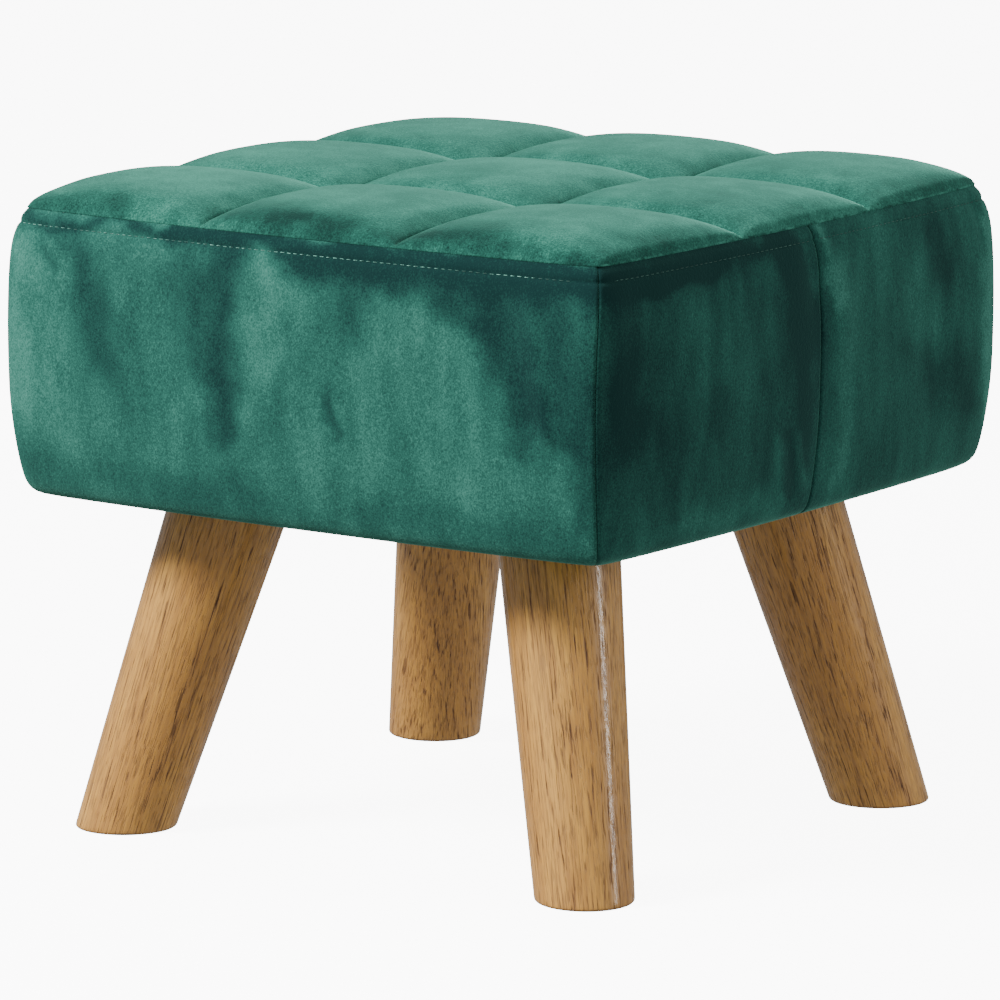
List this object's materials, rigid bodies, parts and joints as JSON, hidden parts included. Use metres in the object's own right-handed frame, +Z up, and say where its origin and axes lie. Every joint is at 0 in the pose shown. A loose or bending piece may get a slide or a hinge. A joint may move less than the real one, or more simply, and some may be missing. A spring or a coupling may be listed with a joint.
{
  "type": "quilted cube pouf stool on wooden legs",
  "caption": "Low square footstool: velvet seat with a quilted, crowned top and seamed side panels, on splayed round tapered wooden legs.",
  "frame": {"origin": "on the floor under the middle of the stool", "axes": "+Z up, -Y towards the face that the picture shows on the left, +X towards the face it shows on the right; the seat is square to X and Y"},
  "size_m": [0.3164, 0.3157, 0.2824],
  "materials": {
    "velvet_top": "green velvet, short crushed pile",
    "velvet_side": "green velvet, short crushed pile",
    "oak": "satin clear lacquer over golden oak"
  },
  "bodies": {
    "root": {"quilted_seat": "velvet_top", "band_front": "velvet_side", "band_left": "velvet_side", "band_back": "velvet_side", "band_right_near": "velvet_side", "band_right_far": "velvet_side", "leg_front_left": "oak", "leg_front_right": "oak", "leg_back_left": "oak", "leg_back_right": "oak"}
  },
  "joints": []
}
